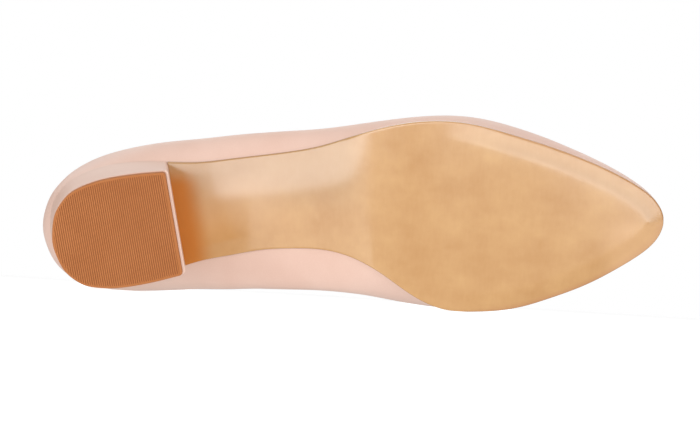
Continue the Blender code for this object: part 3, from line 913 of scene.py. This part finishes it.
def sole_tones(along, across, to_inner, reach, waist, forefoot):
    """How strongly each tone colours the sole at each of its points: its darker edge, painted shade and
    painted sheen.
    """
    ahead = (along - BREAST_ALONG) * HEEL_AXIS[0] + (across - BREAST_ACROSS) * HEEL_AXIS[1]
    toe = eased(along, *TOE_ALONG)
    # Painted shade in the corner by the heel's breast
    corner = eased(ahead, *SHADED_CORNER_AHEAD) * eased(to_inner, *SHADED_CORNER_ACROSS)
    # Painted shade reaching further out on the inner side near the heel
    inner_shade = eased(ahead, *INNER_SHADE_AHEAD) * eased(to_inner, *INNER_SHADE_ACROSS)
    # Painted sheen over the waist, and round the toe's bevel
    painted_sheen = eased(ahead, *SHEEN_AHEAD) * eased(ahead, *SHEEN_END_AHEAD)
    painted_sheen = painted_sheen * eased(to_inner, *SHEEN_OUTER) * eased(to_inner, *SHEEN_INNER)
    painted_sheen = np.maximum(SHEEN_SHARE * painted_sheen, TOE_SHEEN_SHARE * toe * eased(to_inner, *TOE_SHEEN_ACROSS))
    extra = (RIM_INNER_EXTRA + RIM_TOE_EXTRA * toe) * forefoot * eased(to_inner, *RIM_ACROSS)
    rim = np.clip(1 - reach / (RIM_WIDTH + extra), 0, 1)
    rim = rim * (RIM_WAIST_SHARE + (1 - RIM_WAIST_SHARE) * forefoot)
    # Painted shade along the forefoot's outer bevel and on the waist's outer side
    ridge = np.exp(-((reach - RIDGE_REACH) / RIDGE_WIDTH)**2)
    band = BAND_SHARE * np.clip(BAND_RISE * bevel_left(reach), 0, 1) + RIDGE_SHARE * ridge
    band = band * forefoot * eased(to_inner, *BAND_ACROSS)
    painted_shade_waist_bevel = np.maximum(waist * eased(to_inner, *WAIST_BAND_ACROSS), band)
    return {"rim": rim, "corner": corner, "inner_shade": inner_shade, "painted_shade_waist_bevel": painted_shade_waist_bevel, "painted_sheen": painted_sheen}


def make_outsole(material):
    """The leather sole with its bevelled forefoot, crowned waist and rounded lower edge."""
    along, across, to_inner = sole_grid()
    top = seat_line(along)
    reach = edge_distance(along, across, OUTLINE)
    waist = 1 - eased(along, *CROWN_END)
    forefoot = eased(along, *BEVEL_START)
    missing = waist * crown_left(reach) + forefoot * bevel_left(reach)
    thickness = SOLE_THICKNESS - (SOLE_THICKNESS - SOLE_EDGE) * missing
    thickness += SEAT_FULLNESS - (SEAT_FULLNESS + WAIST_THINNING) * eased(along, *SEAT_TO_WAIST)
    thickness += WAIST_THINNING * eased(along, *WAIST_TO_BALL)
    thickness -= rounding(reach, SOLE_EDGE_RADIUS)
    lower = np.stack([along, across, top - thickness], axis=2)
    upper = np.stack([along, across, top], axis=2)
    points, faces = slab(lower, upper)
    piece = add_piece("sole", points, faces, [material], "outsole", sharp=50)
    for name, values in sole_tones(along, across, to_inner, reach, waist, forefoot).items():
        store(piece, name, [values, values])


def make_insole(material):
    """The sock on the insole board, with a rounded upper edge."""
    ring = wall_handles(places_round(WALL_STEPS_ROUND), UPPER_WALL)[0][:, :2]
    ring = ring - outward(ring) * INSOLE_EASE
    share = (1 - np.cos(np.linspace(0, pi, SOCK_STEPS + 1))) / 2
    back, tip = ring[:, 0].min() + TIP_TRIM, ring[:, 0].max() - TIP_TRIM
    centre = back + share * (tip - back)
    outer, inner = side_edges(ring, centre)
    half = (inner - outer) / 2
    across = outer[:, None] + half[:, None] * (1 - np.cos(np.linspace(0, pi, SOCK_STEPS_ACROSS + 1)))
    along = np.repeat(centre[:, None], across.shape[1], axis=1)
    under = seat_line(along) + FIT_GAP
    radius = INSOLE_THICKNESS * SOCK_EDGE_SHARE
    height = INSOLE_THICKNESS - rounding(edge_distance(along, across, ring), radius)
    lower = np.stack([along, across, under], axis=2)
    upper = np.stack([along, across, under + height], axis=2)
    points, faces = slab(lower, upper)
    piece = add_piece("sock", points, faces, [material], "insole", sharp=50)


def make_heel_block(material):
    """The leather-covered heel, rounded over where it meets the top piece."""
    rings = []
    bottom = TOP_PIECE_THICKNESS + FIT_GAP
    for angle in np.linspace(0, pi / 2, HEEL_EDGE_STEPS + 1)[:-1]:
        plan = heel_ring(0, breast_ahead(0), HEEL_EDGE_RADIUS * (1 - sin(angle)))
        height = np.full(len(plan), bottom + HEEL_EDGE_RADIUS * (1 - cos(angle)))
        rings.append(np.column_stack([plan, height]))
    for level in np.linspace(0, 1, HEEL_LEVELS):
        plan = heel_ring(level, breast_ahead(level))
        height = bottom + HEEL_EDGE_RADIUS + level * (seat_line(plan[:, 0]) - bottom - HEEL_EDGE_RADIUS)
        rings.append(np.column_stack([plan, height]))
    columns = len(rings[0])
    faces = grid_faces(len(rings), columns, closed=True)
    faces.append(tuple(range(columns)))
    faces.append(tuple((len(rings) - 1) * columns + j for j in range(columns)))
    points = np.vstack(rings)
    piece = add_piece("heel_cover", points, faces, [material], "heel_block", sharp=50)
    # Where the painted highlight goes: the low lip at the breast
    ahead = (points[:, :2] - BREAST_MIDDLE) @ HEEL_AXIS
    low = points[:, 2] < bottom + LIP_RISE_SHARE * HEEL_EDGE_RADIUS
    store(piece, "painted_highlight_lip", (ahead > -LIP_DEPTH) & low)


def make_top_piece(material):
    """The rubber top piece with fine ribs across it inside a plain border."""
    ring = heel_ring(0, 0.0, TOP_PIECE_INSET) - BREAST_MIDDLE
    local = np.stack([ring @ HEEL_AXIS, ring @ HEEL_ACROSS], axis=1)
    back, front = local[:, 0].min(), local[:, 0].max()
    ribs = int((front - back - 2 * RIB_BORDER) / RIB_PITCH)
    first = (front + back) / 2 - ribs * RIB_PITCH / 2
    last = first + ribs * RIB_PITCH
    steps = [back + step for step in TREAD_BACK_STEPS]
    for i in range(ribs):
        steps += [first + (i + share) * RIB_PITCH for share in RIB_CUTS]
    steps += [last] + [front - step for step in TREAD_FRONT_STEPS]
    steps = np.array(sorted(set(steps)))
    edges = []
    for side in (local[local[:, 1] < 0], local[local[:, 1] >= 0]):
        side = side[np.argsort(side[:, 0])]
        edges.append(np.interp(steps, side[:, 0], side[:, 1]))
    shares = np.linspace(0, TREAD_SIDE_SHARE, len(TREAD_SIDE_STEPS))
    across = lines_across(edges[0], edges[1], TREAD_SIDE_STEPS, shares, TREAD_FILL_STEPS)
    along = np.repeat(steps[:, None], across.shape[1], axis=1)
    reach = edge_distance(along, across, local)
    phase = ((along - first) / RIB_PITCH) % 1.0
    inside = np.clip((reach - RIB_BORDER) / RIB_FADE, 0, 1) * (along > first) * (along < last)
    groove = np.where((phase > RIB_CREST_START) & (phase < RIB_CREST_END), 0.0, inside)
    height = groove * RIB_DEPTH + rounding(reach, TREAD_EDGE_RADIUS)
    plan = BREAST_MIDDLE + along[..., None] * HEEL_AXIS + across[..., None] * HEEL_ACROSS
    lower = np.concatenate([plan, height[..., None]], axis=2)
    upper = np.concatenate([plan, np.full(height.shape, TOP_PIECE_THICKNESS)[..., None]], axis=2)
    points, faces = slab(lower, upper)
    piece = add_piece("heel_tread", points, faces, [material], "top_piece", sharp=30)
    # The grooves carry the painted shade; the border its darker tone
    store(piece, "groove", [groove, np.zeros(groove.shape)])
    store(piece, "border", [1 - inside, np.ones(inside.shape)])


# Floor, light and camera

def make_floor():
    """A plain pale floor, wide enough for every view."""
    mesh = bpy.data.meshes.new("floor")
    form = bmesh.new()
    bmesh.ops.create_circle(form, cap_ends=True, radius=FLOOR_RADIUS, segments=FLOOR_SIDES)
    form.to_mesh(mesh)
    form.free()
    floor = bpy.data.objects.new("floor", mesh)
    bpy.context.scene.collection.objects.link(floor)
    material, _, shader = new_material("floor", 0.9, Specular_IOR_Level=0.0)
    shader.inputs["Base Color"].default_value = (FLOOR_SHADE, FLOOR_SHADE, FLOOR_SHADE, 1.0)
    shader.inputs["Emission Color"].default_value = (1.0, 1.0, 1.0, 1.0)
    shader.inputs["Emission Strength"].default_value = FLOOR_GLOW
    mesh.materials.append(material)
    floor.visible_glossy = False
    floor.visible_diffuse = False
    floor.visible_shadow = False


def add_softbox(name, azimuth, elevation, distance, half_wide, half_high, radiance):
    """A rectangular soft light that faces the shoe; azimuth runs to the left of the camera."""
    light = bpy.data.lights.new(name, "AREA")
    light.shape = "RECTANGLE"
    light.size = 2 * distance * tan(radians(half_wide))
    light.size_y = 2 * distance * tan(radians(half_high))
    light.energy = radiance * pi * light.size * light.size_y
    box = bpy.data.objects.new(name, light)
    bpy.context.scene.collection.objects.link(box)
    turn, lift = radians(azimuth), radians(elevation)
    away = Vector((-sin(turn) * cos(lift), -cos(turn) * cos(lift), sin(lift)))
    box.location = Vector(LIGHT_AIM) + away * distance
    box.rotation_euler = away.to_track_quat("Z", "Y").to_euler()
    box.visible_camera = False


def make_world():
    """White surroundings, brighter to the camera than as a light."""
    world = bpy.data.worlds.new("studio")
    bpy.context.scene.world = world
    world.use_nodes = True
    tree = world.node_tree
    tree.nodes.clear()
    output = tree.nodes.new("ShaderNodeOutputWorld")
    seen = add_node(tree, "ShaderNodeBackground", Color=(1, 1, 1, 1), Strength=1.0)
    lit = add_node(tree, "ShaderNodeBackground", Color=(1, 1, 1, 1))
    coordinates = tree.nodes.new("ShaderNodeTexCoord")
    parts = tree.nodes.new("ShaderNodeSeparateXYZ")
    tree.links.new(coordinates.outputs["Generated"], parts.inputs["Vector"])
    height = add_node(tree, "ShaderNodeMapRange", From_Min=-1.0, From_Max=1.0)
    tree.links.new(parts.outputs["Z"], height.inputs["Value"])
    glow = ramp(tree, height.outputs["Result"], [(place, (level,) * 3) for place, level in SURROUNDINGS])
    tree.links.new(glow, lit.inputs["Strength"])
    path = tree.nodes.new("ShaderNodeLightPath")
    switch = tree.nodes.new("ShaderNodeMixShader")
    tree.links.new(path.outputs["Is Camera Ray"], switch.inputs[0])
    tree.links.new(lit.outputs[0], switch.inputs[1])
    tree.links.new(seen.outputs[0], switch.inputs[2])
    tree.links.new(switch.outputs[0], output.inputs["Surface"])


def make_camera():
    """The camera at the photograph's angle to the sole, kept just above the floor."""
    pivot = to_scene([AIM_ALONG, CAMERA_PIVOT * tan(CAMERA_LEAN), CAMERA_PIVOT])
    distance = CAMERA_DISTANCE + CAMERA_PIVOT / cos(CAMERA_LEAN)
    lean = CAMERA_LEAN
    while True:
        view = AXES @ np.array([0.0, sin(lean), cos(lean)])
        place = pivot - view * distance
        if place[2] >= CAMERA_FLOOR_GAP:
            break
        lean += CAMERA_LEAN_STEP
    up = AXES @ np.array([0.0, -cos(lean), sin(lean)])
    right = np.cross(view, up)
    camera_data = bpy.data.cameras.new("camera")
    camera = bpy.data.objects.new("camera", camera_data)
    bpy.context.scene.collection.objects.link(camera)
    turn = Matrix([[right[i], up[i], -view[i]] for i in range(3)])
    camera.matrix_world = Matrix.Translation(Vector(place)) @ turn.to_4x4()
    camera_data.sensor_width = CAMERA_SENSOR
    camera_data.lens = CAMERA_LENS
    camera_data.clip_start = CAMERA_CLIP_START
    camera_data.clip_end = CAMERA_CLIP_END
    bpy.context.scene.camera = camera


def make_lights():
    """Soft boxes round the shoe, one for each row of the table."""
    for row in LIGHT_ROWS:
        add_softbox(*row)


def main():
    """Set the camera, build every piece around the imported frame, then add floor and light."""
    make_camera()
    lining = lining_leather()
    make_upper(pink_leather("pink_leather"), lining)
    make_topline_stitches(thread())
    make_outsole(sole_leather())
    make_insole(lining)
    make_heel_block(pink_leather("heel_leather", HEEL_TONE))
    make_top_piece(heel_rubber())
    make_floor()
    make_world()
    make_lights()
    bpy.context.scene.view_settings.view_transform = "Standard"


main()
